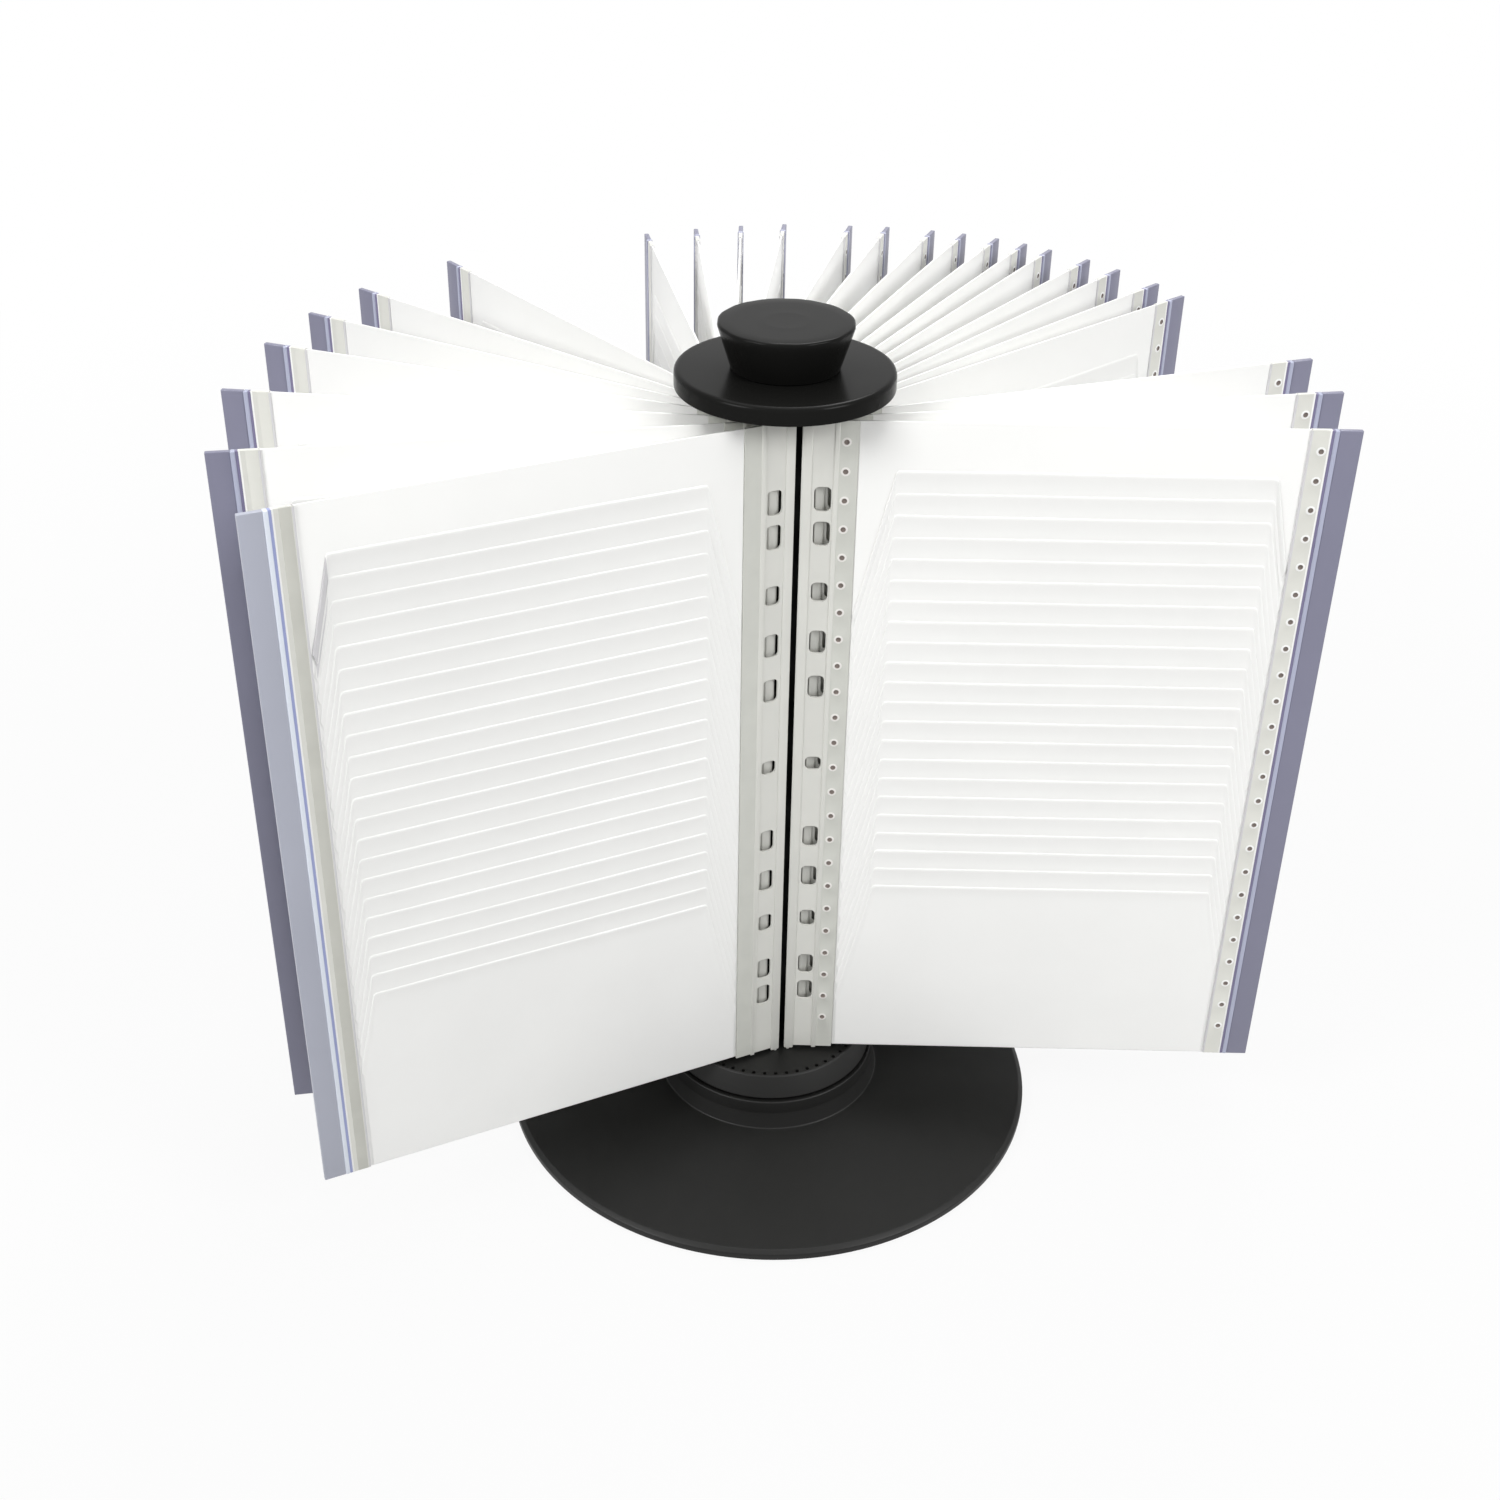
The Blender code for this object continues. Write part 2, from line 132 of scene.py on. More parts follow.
# Sprue ring and shallow dish of the moulded top: radius and depth in mm
KNOB_RINGS = (
    (20.6, 0.0), (14.0, 0.0), (9.6, 0.01), (9.2, 0.0), (8.4, 0.0), (8.0, 0.01), (3.0, 0.01),
)

# Holes for the panels' pins, then the small ones round the drum: radius in mm, ring, count, start
PIN_HOLE_R = 1.1
RIM_HOLE_R, RIM_RING_R, RIM_HOLES, RIM_START = 0.95, 40.9, 52, 268.2

# Panel measures along the panel from its hinge, as on the CAD solids, in mm
RIB_BACK, RIB_FRONT = -1.7, 2.4
WEB_END, RIDGE_END, STRIP_END = 10.7, 12.7, 19.8
TONGUE_START = 14.3
OUTER_START, OUTER_END, PANEL_REACH = 190.0, 197.8, 209.5
FOOT, HEAD = 37.1, 342.1
SHEET_FOOT = 38.2
INNER_DOTS, OUTER_DOTS = 15.2, 194.7
TOP_DOT = 333.5
PIN_R, PIN_LENGTH = 0.8, 2.5

# Thin parts of a panel: distance from its middle plane to each face, in mm
RIB_HALF, WEB_HALF, RIDGE_HALF, STRIP_HALF = 1.0, 0.5, 0.9, 0.7
TONGUE_HALF, SHEET_HALF, OUTER_HALF = 0.17, 0.42, 0.9

# Pockets: ends of their top edges, feet of their sides and the leaf's middle, in mm along the panel
POCKET_START, POCKET_STOP = 34.8, 180.6
LEFT_FOOT, RIGHT_FOOT = 20.4, 189.4
LEAF_MIDDLE = 100.0
# Radius of their corners, flare of their sides, how far the sides lean in per mm of drop, the
# lowest drop that counts as the edge, and how far from the middle plane their film starts
POCKET_ROUND = 1.9
POCKET_FLARE = math.radians(13)
POCKET_LEAN = 0.35
POCKET_EDGE = -2.5
POCKET_BACK = 0.46

# Filing slots: distance from the spine's middle and height of each pair, in mm
SLOT_FROM, SLOT_TO = 3.5, 10.1
SLOT_ROUND = 2.05
SLOTS = ((120.0, 10.4), (105.4, 10.4), (80.0, 8.4), (57.5, 10.4), (36.8, 10.4))
MIDDLE_HOLE = 6.4

# Weld dots: radius in mm, then rings as (share of the radius, height in mm) for a pit and a bump
DOT_R = 1.08
DOT_FIELD = 1.75
PIT_RINGS = ((1.35, 0.16), (1.0, 0.14), (0.8, -0.28), (0.3, -0.34))
BUMP_RINGS = ((1.3, 0.01), (0.9, 0.03), (0.45, 0.04), (0.2, 0.04))

# Finish slots: the plain one, then those of a spine and of a leaf, in the order of their lists
PLAIN = 0
# Slot 1 of a spine and slot 2 of a leaf hold the painted shade of the weld pits; slots 6, 7 and 8 of a leaf
# hold painted shade, 7 and 8 only on the front leaf.
SPINE_PIT_SHADE, LIP, GROOVE = range(1, 4)
STRIP, LEAF_PIT_SHADE, LABEL, FOLD, SEAM, CREASE_SHADE, SHADE_BAND, POCKET_SIDE_SHADOW = range(1, 9)

# Studio: lamps as (name, place in m, width in m, watts), and the point that they face
LAMPS = (
    ("top_softbox", (0.0, 0.2, 1.9), 1.5, 15),
    ("left_softbox", (-1.65, -1.25, 1.5), 0.9, 36),
    ("right_softbox", (1.75, -1.15, 1.5), 0.9, 35),
    ("back_softbox", (0.3, 1.6, 2.2), 0.9, 22),
)
LAMP_TARGET = Vector((0, 0, 0.2))

# Camera of the photo: place in m, angles in radians, focal length and picture width in pixels
CAMERA_PLACE = Vector((0, -0.716713, 0.622714))
CAMERA_YAW, CAMERA_PITCH, CAMERA_ROLL = -0.0154303, 0.5520091, 0.0172016
FOCAL_PIXELS, PHOTO_PIXELS = 1957.0897, 1500
SENSOR_MM = 36.0


def sizes():
    """The sizes that the panel shows."""
    return bpy.context.scene.carousel_sizes


def colours():
    """The colours that the panel shows."""
    return bpy.context.scene.carousel_colours


def add_node(material, kind, settings=None, links=None):
    """Add one shader node, set its values and sockets, and link its inputs."""
    tree = material.node_tree
    node = tree.nodes.new(kind)
    for name, value in (settings or {}).items():
        if isinstance(name, int) or name in node.inputs:
            node.inputs[name].default_value = value
        else:
            setattr(node, name, value)
    for name, source in (links or {}).items():
        tree.links.new(source, node.inputs[name])
    return node


def new_finish(name, roughness, ior=1.49):
    """Start a material and return it with its shader and its object coordinates."""
    material = bpy.data.materials.new(name)
    material.use_nodes = True
    shader = material.node_tree.nodes["Principled BSDF"]
    shader.inputs["Roughness"].default_value = roughness
    shader.inputs["IOR"].default_value = ior
    place = add_node(material, "ShaderNodeTexCoord").outputs["Object"]
    return material, shader, place


def grain(material, shader, place, size_mm, height_mm, detail=2.0):
    """Roughen a surface with grain of a real size and height."""
    texture = add_node(
        material, "ShaderNodeTexNoise",
        {"Scale": 1 / (size_mm * MM), "Detail": detail}, {"Vector": place},
    )
    bump = add_node(
        material, "ShaderNodeBump",
        {"Strength": 1.0, "Distance": height_mm * MM}, {"Height": texture.outputs["Fac"]},
    )
    material.node_tree.links.new(bump.outputs["Normal"], shader.inputs["Normal"])


def tint(material, shader, place, colour, size_mm, low, high):
    """Colour a surface with shades that wander between a darker and a lighter one."""
    texture = add_node(
        material, "ShaderNodeTexNoise",
        {"Scale": 1 / (size_mm * MM), "Detail": 3.0}, {"Vector": place},
    )
    ramp = add_node(material, "ShaderNodeValToRGB", {}, {"Fac": texture.outputs["Fac"]})
    for stop, position, share in zip(ramp.color_ramp.elements, (0.3, 0.7), (low, high)):
        stop.position = position
        stop.color = (*[min(1, channel * share) for channel in colour[:3]], 1)
    material.node_tree.links.new(ramp.outputs["Color"], shader.inputs["Base Color"])


def worn_roughness(material, shader, place, size_mm, low, high):
    """Let the roughness wander between two values, as handled plastic does."""
    texture = add_node(
        material, "ShaderNodeTexNoise",
        {"Scale": 1 / (size_mm * MM), "Detail": 4.0}, {"Vector": place},
    )
    spread = add_node(
        material, "ShaderNodeMapRange",
        {"From Min": 0.3, "From Max": 0.7, "To Min": low, "To Max": high},
        {"Value": texture.outputs["Fac"]},
    )
    material.node_tree.links.new(spread.outputs["Result"], shader.inputs["Roughness"])


def moulded_black():
    """ABS injection moulded against a fine spark-eroded tool: a satin black with a soft sheen."""
    material, shader, place = new_finish("moulded_black_abs", 0.46, 1.53)
    shader.inputs["Specular IOR Level"].default_value = 0.25
    tint(material, shader, place, colours().black, 34, 0.92, 1.08)
    worn_roughness(material, shader, place, 16, 0.42, 0.5)
    # Real grain is near 0.05 mm; drawn at 0.5 mm so that it shows.
    grain(material, shader, place, 0.5, 0.004)
    return material


def polished_black():
    """The same ABS from a polished tool, on the disc and knob: deep black with sharp dark reflections."""
    material, shader, place = new_finish("polished_black_abs", 0.2, 1.135)
    tint(material, shader, place, linear("#171716"), 34, 0.94, 1.06)
    worn_roughness(material, shader, place, 20, 0.17, 0.24)
    # Orange peel left by the polished tool, about a millimetre across.
    grain(material, shader, place, 1.4, 0.003)
    return material


def moulded_white():
    """High-impact polystyrene moulding: off-white, faintly warm, low satin sheen."""
    material, shader, place = new_finish("moulded_white_styrene", 0.42, 1.59)
    tint(material, shader, place, colours().spine, 22, 0.97, 1.02)
    worn_roughness(material, shader, place, 12, 0.36, 0.5)
    grain(material, shader, place, 0.6, 0.008)
    return material


def pressed_groove():
    """The same styrene where the welding horn pressed it: greyer, matt, finely pitted."""
    material, shader, place = new_finish("horn_pressed_styrene", 0.55, 1.59)
    tint(material, shader, place, linear("#cacbc4"), 9, 0.97, 1.02)
    worn_roughness(material, shader, place, 6, 0.5, 0.62)
    grain(material, shader, place, 0.5, 0.012)
    return material


def pocket_film():
    """Calendered white polypropylene film: smooth, slightly cloudy, soft wide highlights."""
    material, shader, place = new_finish("calendered_pocket_film", 0.34, 1.49)
    tint(material, shader, place, colours().film, 46, 0.985, 1.01)
    worn_roughness(material, shader, place, 28, 0.28, 0.42)
    # Calender ripple, a few millimetres long and very shallow.
    grain(material, shader, place, 7, 0.03, 1.0)
    return material


def label_plastic():
    """Tinted PVC channel over a paper strip: cool lilac grey, semi-gloss."""
    material, shader, place = new_finish("tinted_label_pvc", 0.36, 1.53)
    tint(material, shader, place, colours().label, 60, 0.97, 1.03)
    grain(material, shader, place, 1.2, 0.006)
    return material


def label_plastic_painted_sheen():
    """The front leaf's channel: the same tint, painted paler with the sheen of the lamps on it."""
    material, shader, place = new_finish("tinted_label_pvc_painted_sheen", 0.36, 1.53)
    tint(material, shader, place, linear("#abaebb"), 60, 0.97, 1.03)
    grain(material, shader, place, 1.2, 0.006)
    return material


def label_fold():
    """The same tinted PVC where the fold catches light: paler and smoother."""
    material, shader, place = new_finish("tinted_label_fold", 0.22, 1.53)
    tint(material, shader, place, linear("#adb1c7"), 60, 0.97, 1.03)
    grain(material, shader, place, 1.2, 0.004)
    return material


def label_fold_painted_highlight():
    """The fold of the front leaf's channel: painted nearly white with the highlight that it catches."""
    material, shader, place = new_finish("tinted_label_fold_painted_highlight", 0.22, 1.53)
    tint(material, shader, place, linear("#dfe5f0"), 60, 0.98, 1.01)
    grain(material, shader, place, 1.2, 0.004)
    return material


def label_seam():
    """Two layers of the tinted PVC welded at the seam: its tint shows twice as deep."""
    material, shader, place = new_finish("tinted_label_seam", 0.3, 1.53)
    tint(material, shader, place, linear("#767190"), 30, 0.95, 1.05)
    grain(material, shader, place, 0.8, 0.006)
    return material


def label_seam_painted_sheen():
    """The same seam on the front leaf's channel: painted pale blue with the sheen of the lamps on it."""
    material, shader, place = new_finish("tinted_label_seam_painted_sheen", 0.3, 1.53)
    tint(material, shader, place, linear("#9aa2cd"), 30, 0.96, 1.04)
    grain(material, shader, place, 0.8, 0.006)
    return material


def painted_shade_band():
    """Painted shade along the back of the front leaf's outer strip: grey, with soft uneven strength."""
    material, shader, place = new_finish("painted_shade_band_on_strip", 0.4, 1.49)
    tint(material, shader, place, linear("#c6c6be"), 14, 0.94, 1.04)
    grain(material, shader, place, 0.8, 0.008)
    return material


def painted_crease_shade():
    """Film where it rises on to the strip, and the front leaf's first pocket side: painted cool grey shade.
    """
    material, shader, place = new_finish("painted_shade_film_border", 0.38, 1.49)
    tint(material, shader, place, linear("#d0cfd1"), 12, 0.97, 1.02)
    grain(material, shader, place, 0.8, 0.006)
    return material


def pressed_strip():
    """Film pressed several layers thick along the leaf's edge: greyer than one layer, satin."""
    material, shader, place = new_finish("pressed_film_strip", 0.4, 1.49)
    tint(material, shader, place, linear("#dcdcd5"), 18, 0.97, 1.02)
    worn_roughness(material, shader, place, 10, 0.34, 0.46)
    grain(material, shader, place, 0.8, 0.008)
    return material


def weld_lip():
    """Plastic squeezed up round each weld dot: whiter where it was stretched."""
    material, shader, place = new_finish("stretched_weld_lip", 0.35, 1.59)
    tint(material, shader, place, linear("#e7e4e0"), 3, 0.97, 1.0)
    return material


def painted_pit_shade():
    """Weld dot floor painted dark with the shade inside each pit, rough from the horn."""
    material, shader, place = new_finish("painted_shade_dot_floor", 0.7, 1.49)
    tint(material, shader, place, linear("#7d736d"), 1.5, 0.85, 1.2)
    grain(material, shader, place, 0.3, 0.03)
    return material


def foot_rubber():
    """Nitrile foot ring: matt black with a fine talc bloom."""
    material, shader, place = new_finish("nitrile_foot_rubber", 0.85, 1.52)
    tint(material, shader, place, linear("#232322"), 5, 0.85, 1.3)
    grain(material, shader, place, 0.6, 0.04)
    return material


def turned_steel():
    """Free-cutting steel from the lathe: bright, with fine rings round the axis."""
    material, shader, place = new_finish("turned_bright_steel", 0.24, 1.5)
    shader.inputs["Metallic"].default_value = 1.0
    tint(material, shader, place, linear("#b9b9b6"), 4, 0.9, 1.08)
    rings = add_node(
        material, "ShaderNodeTexWave",
        {"wave_type": "BANDS", "bands_direction": "Z", "Scale": 900.0, "Distortion": 0.4},
        {"Vector": place},
    )
    bump = add_node(
        material, "ShaderNodeBump",
        {"Strength": 0.3, "Distance": 0.00003}, {"Height": rings.outputs["Fac"]},
    )
    material.node_tree.links.new(bump.outputs["Normal"], shader.inputs["Normal"])
    return material


def natural_nylon():
    """Moulded natural nylon: milky cream, waxy."""
    material, shader, place = new_finish("natural_nylon", 0.45, 1.53)
    tint(material, shader, place, linear("#e6e2d4"), 6, 0.95, 1.03)
    grain(material, shader, place, 0.8, 0.02)
    return material


FINISHES = {}


def finish(maker):
    """Make each finish once and hand it out to every piece that has it."""
    if maker.__name__ not in FINISHES:
        FINISHES[maker.__name__] = maker()
    return FINISHES[maker.__name__]


def refinish(node, maker):
    """Give a CAD node a better material."""
    mesh = frame["nodes"][node].data
    mesh.materials.clear()
    mesh.materials.append(finish(maker))


def add_piece(name, shape, makers, body, nodes=(), smooth=35):
    """Turn a bmesh into a finished piece that rides on a body and stands for its nodes."""
    mesh = bpy.data.meshes.new(name)
    shape.to_mesh(mesh)
    shape.free()
    mesh.shade_smooth()
    mesh.set_sharp_from_angle(angle=math.radians(smooth))
    for maker in makers:
        mesh.materials.append(finish(maker))
    return link_piece(name, mesh, body, nodes)


def link_piece(name, mesh, body, nodes=()):
    """Link a finished mesh at the origin, let it ride on a body and stand for its nodes."""
    piece = bpy.data.objects.new(name, mesh)
    bpy.context.scene.collection.objects.link(piece)
    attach(piece, body)
    if nodes:
        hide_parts(*nodes)
    return piece


def turn_profile(shape, profile, steps):
    """Revolve a closed outline of (radius, height) points, in mm, round the Z axis."""
    corners = [shape.verts.new((r * MM, 0, z * MM)) for r, z in profile]
    edges = [shape.edges.new(pair) for pair in zip(corners, corners[1:] + corners[:1])]
    bmesh.ops.spin(
        shape, geom=corners + edges, cent=(0, 0, 0), axis=(0, 0, 1),
        angle=math.tau, steps=steps, use_merge=True,
    )
    bmesh.ops.remove_doubles(shape, verts=shape.verts, dist=1e-6)
    bmesh.ops.recalc_face_normals(shape, faces=shape.faces)


def rounded(profile, radii, arc=5):
    """Round the corners of an outline: radii maps a corner's number to a radius in mm."""
    result = []
    count = len(profile)
    for index, point in enumerate(profile):
        radius = radii.get(index)
        if not radius:
            result.append(point)
            continue
        here = Vector(point)
        before = Vector(profile[index - 1]) - here
        after = Vector(profile[(index + 1) % count]) - here
        half = before.angle(after) / 2
        reach = radius / math.tan(half)
        start = here + before.normalized() * reach
        end = here + after.normalized() * reach
        for step in range(arc + 1):
            t = step / arc
            result.append(tuple(start * (1 - t) ** 2 + here * 2 * t * (1 - t) + end * t ** 2))
    return result


def ring_cutters(radius, ring_r, count, start, low, high, steps=12):
    """Make a ring of round cutters, which the drilling removes again."""
    shape = bmesh.new()
    for index in range(count):
        angle = math.radians(start - index * 360 / count)
        place = Vector((ring_r * math.cos(angle), ring_r * math.sin(angle), (low + high) / 2))
        bmesh.ops.create_cone(
            shape, cap_ends=True, segments=steps, radius1=radius * MM, radius2=radius * MM,
            depth=(high - low) * MM,
            matrix=Matrix.Translation(place * MM) @ Matrix.Rotation(angle, 4, "Z"),
        )
    mesh = bpy.data.meshes.new("cutters")
    shape.to_mesh(mesh)
    shape.free()
    cutters = bpy.data.objects.new("cutters", mesh)
    bpy.context.scene.collection.objects.link(cutters)
    return cutters


def drilled(shape, cutters):
    """Cut each set of cutters from a bmesh and return the drilled one."""
    mesh = bpy.data.meshes.new("blank")
    shape.to_mesh(mesh)
    shape.free()
    blank = bpy.data.objects.new("blank", mesh)
    bpy.context.scene.collection.objects.link(blank)
    for cutter in cutters:
        change = blank.modifiers.new("holes", "BOOLEAN")
        change.operation = "DIFFERENCE"
        change.solver = "EXACT"
        change.object = cutter
    graph = bpy.context.evaluated_depsgraph_get()
    done = bmesh.new()
    done.from_object(blank, graph)
    for obj in [blank, *cutters]:
        bpy.data.objects.remove(obj, do_unlink=True)
    return done


def hinge_start():
    """Angle of the first panel's hinge on the ring, in degrees."""
    place = HINGES[PANELS[0]]
    return math.degrees(math.atan2(place.y, place.x))


def ring_radius():
    """Radius of the ring of hinges, in mm."""
    return HINGES[PANELS[0]].to_2d().length / MM


class CAROUSEL_OT_base(bpy.types.Operator):
    """Turn the base plate with its flared collar, and finish the foot ring."""

    bl_idname = "carousel.base"
    bl_label = "Base plate and foot ring"

    def execute(self, context):
        # Up the bore and hub, along the inside to the collar, down the sloping top, and back below.
        profile = [
            (6.15, 3.5), (6.15, 23.5), (14.0, 23.5), (14.0, 7.5), (47.6, 7.5), (45.1, 24.3),
            (48.1, 24.3), (48.7, 18.5), (50.6, 11.0), (118.9, 5.2), (121.0, 3.8), (121.0, 0.8),
            (113.0, 0.8), (113.0, 2.5), (99.0, 2.5), (99.0, 0.8), (11.3, 0.8), (11.3, 3.5),
        ]
        profile = rounded(profile, {5: 0.5, 6: 0.7, 7: 5.0, 8: 0.8, 9: 1.6, 10: 1.0, 11: 0.6})
        shape = bmesh.new()
        turn_profile(shape, profile, sizes().turned_steps)
        add_piece("base_plate_shell", shape, [moulded_black], "base", ["base_plate"])
        refinish("foot_ring", foot_rubber)
        return {"FINISHED"}


class CAROUSEL_OT_bearing(bpy.types.Operator):
    """Finish the spindle, washer, retaining ring, column and clamp stud."""

    bl_idname = "carousel.bearing"
    bl_label = "Turntable bearing"

    def execute(self, context):
        for node in ("spindle", "retaining_ring", "clamp_stud"):
            refinish(node, turned_steel)
        refinish("thrust_washer", natural_nylon)
        refinish("column", moulded_black)
        return {"FINISHED"}


class CAROUSEL_OT_drum(bpy.types.Operator):
    """Turn the drum with its deck, pin holes and the ring of small holes near its rim."""

    bl_idname = "carousel.drum"
    bl_label = "Drum"

    def execute(self, context):
        # Up the bore to the spigot, out over the deck, down the flared side, and back below.
        profile = [
            (6.15, 26.1), (6.15, 39.0), (11.7, 39.0), (11.7, 35.3), (39.0, 35.3), (42.3, 35.3),
            (43.0, 34.8), (46.9, 25.5), (45.3, 25.5), (41.4, 31.7), (12.5, 31.7), (12.5, 26.1),
        ]
        profile = rounded(profile, {2: 0.5, 5: 0.4, 6: 0.5, 7: 0.4})
        shape = bmesh.new()
        turn_profile(shape, profile, sizes().turned_steps)
        shape = drilled(shape, [
            ring_cutters(PIN_HOLE_R, ring_radius(), len(PANELS), hinge_start(), 33.0, 37.0),
            ring_cutters(RIM_HOLE_R, RIM_RING_R, RIM_HOLES, RIM_START, 33.9, 37.0),
        ])
        add_piece("drum_shell", shape, [moulded_black], "carousel", ["drum"])
        return {"FINISHED"}


class CAROUSEL_OT_disc(bpy.types.Operator):
    """Turn the top disc with its rolled edge and the boss that holds the upper pins."""

    bl_idname = "carousel.disc"
    bl_label = "Top disc"

    def execute(self, context):
        # Out under the boss, up inside the rim, down to its foot, up its outside, and back on top.
        profile = [
            (4.15, 343.9), (30.0, 343.9), (30.0, 350.4), (40.4, 350.4), (40.4, 347.1),
            (43.0, 347.1), (43.0, 354.4), (4.15, 354.4),
        ]
        profile = rounded(profile, {1: 0.6, 4: 0.4, 5: 0.6, 6: 2.2}, 7)
        shape = bmesh.new()
        turn_profile(shape, profile, sizes().turned_steps)
        shape = drilled(shape, [
            ring_cutters(PIN_HOLE_R, ring_radius(), len(PANELS), hinge_start(), 342.0, 345.9),
        ])
        add_piece("top_disc_shell", shape, [polished_black], "carousel", ["top_disc"])
        return {"FINISHED"}


class CAROUSEL_OT_knob(bpy.types.Operator):
    """Form the clamp knob: an inverted cone with flat grips, a soft edge and a ringed top."""

    bl_idname = "carousel.knob"
    bl_label = "Clamp knob"

    def execute(self, context):
        shape = bmesh.new()
        middle = Matrix.Translation((0, 0, (KNOB_TOP - KNOB_H / 2) * MM))
        bmesh.ops.create_cone(
            shape, cap_ends=True, segments=KNOB_FLATS, radius1=KNOB_FOOT_R * MM,
            radius2=KNOB_TOP_R * MM, depth=KNOB_H * MM,
            matrix=middle @ Matrix.Rotation(math.pi / KNOB_FLATS, 4, "Z"),
        )
        sides = [e for e in shape.edges if abs(e.verts[0].co.z - e.verts[1].co.z) > 0.01]
        bmesh.ops.bevel(
            shape, geom=sides, offset=KNOB_CORNER * MM, offset_type="OFFSET", segments=7,
            profile=0.5, affect="EDGES", material=-1,
        )
        for height, width in ((KNOB_TOP, 1.5), (KNOB_TOP - KNOB_H, 0.4)):
            level = {vert for vert in shape.verts if abs(vert.co.z - height * MM) < 0.1 * MM}
            rim = [edge for edge in shape.edges if level.issuperset(edge.verts)]
            bmesh.ops.bevel(
                shape, geom=rim, offset=width * MM, offset_type="OFFSET", segments=5, profile=0.5,
                affect="EDGES", material=-1,
            )
        cap = max(shape.faces, key=lambda face: face.calc_center_median().z)
        ring = list(cap.edges)
        bmesh.ops.delete(shape, geom=[cap], context="FACES_ONLY")
        for radius, depth in KNOB_RINGS:
            grown = bmesh.ops.extrude_edge_only(shape, edges=ring)["geom"]
            ring = [item for item in grown if isinstance(item, bmesh.types.BMEdge)]
            for vert in grown:
                if isinstance(vert, bmesh.types.BMVert):
                    flat = vert.co.to_2d().normalized() * radius * MM
                    vert.co = (flat.x, flat.y, (KNOB_TOP - depth) * MM)
        bmesh.ops.contextual_create(shape, geom=ring)
        bmesh.ops.recalc_face_normals(shape, faces=shape.faces)
        add_piece("clamp_knob_shell", shape, [polished_black], "knob", ["clamp_knob"], 25)
        return {"FINISHED"}


def add_bar(shape, along, across, up, bevel, segments=3, slot=PLAIN):
    """Add a bar with softened edges: each range is (low, high) in mm."""
    made = bmesh.ops.create_cube(shape, size=1.0)["verts"]
    size = Vector((along[1] - along[0], across[1] - across[0], up[1] - up[0])) * MM
    middle = Vector((sum(along), sum(across), sum(up))) * MM / 2
    bmesh.ops.scale(shape, vec=size, verts=made)
    bmesh.ops.translate(shape, vec=middle, verts=made)
    edges = list({edge for vert in made for edge in vert.link_edges})
    for face in {face for vert in made for face in vert.link_faces}:
        face.material_index = slot
    bmesh.ops.bevel(
        shape, geom=edges, offset=bevel * MM, segments=segments, profile=0.5,
        affect="EDGES", material=-1,
    )


def add_slotted_web(shape):
    """Add the thin web with its filing slots and middle hole."""
    web = bmesh.new()
    bmesh.ops.create_grid(web, x_segments=1, y_segments=1, size=0.5)
    # The web's long edges are buried in the rib and the ridge.
    start, stop = RIB_FRONT - 1.2, WEB_END + 0.6
    for vert in web.verts:
        along = start if vert.co.x < 0 else stop
        up = FOOT if vert.co.y < 0 else HEAD
        vert.co = Vector((along * MM, 0, up * MM))
    middle = (FOOT + HEAD) / 2
    holes = [(middle + side * offset, height) for offset, height in SLOTS for side in (-1, 1)]
    holes.append((middle, MIDDLE_HOLE))
    cuts = [(SLOT_FROM, "x"), (SLOT_TO, "x")]
    for centre, height in holes:
        cuts += [(centre - height / 2, "z"), (centre + height / 2, "z")]
    for value, axis in cuts:
        place = Vector((value, 0, 0)) if axis == "x" else Vector((0, 0, value))
        normal = Vector((1, 0, 0)) if axis == "x" else Vector((0, 0, 1))
        geom = list(web.verts) + list(web.edges) + list(web.faces)
        bmesh.ops.bisect_plane(web, geom=geom, plane_co=place * MM, plane_no=normal)
    doomed = []
    for face in web.faces:
        centre = face.calc_center_median() / MM
        inside = SLOT_FROM < centre.x < SLOT_TO
        if inside and any(abs(centre.z - z) < height / 2 for z, height in holes):
            doomed.append(face)
    bmesh.ops.delete(web, geom=doomed, context="FACES_ONLY")
    grown = bmesh.ops.extrude_face_region(web, geom=list(web.faces))["geom"]
    moved = [item for item in grown if isinstance(item, bmesh.types.BMVert)]
    bmesh.ops.translate(web, verts=moved, vec=(0, 2 * WEB_HALF * MM, 0))
    bmesh.ops.translate(web, verts=web.verts, vec=(0, -WEB_HALF * MM, 0))
    corners = []
    for edge in web.edges:
        a, b = edge.verts
        across = abs(a.co.y - b.co.y) > 0.9 * MM
        if across and SLOT_FROM - 0.1 < a.co.x / MM < SLOT_TO + 0.1 and not edge.is_boundary:
            if edge.calc_face_angle(0) > 1:
                corners.append(edge)
    bmesh.ops.bevel(
        web, geom=corners, offset=SLOT_ROUND * MM, segments=5, profile=0.5,
        affect="EDGES", material=-1,
    )
    bmesh.ops.recalc_face_normals(web, faces=web.faces)
    join_shape(shape, web)


def join_shape(shape, other):
    """Move all of one bmesh into another."""
    mesh = bpy.data.meshes.new("joined")
    other.to_mesh(mesh)
    other.free()
    shape.from_mesh(mesh)
    bpy.data.meshes.remove(mesh)


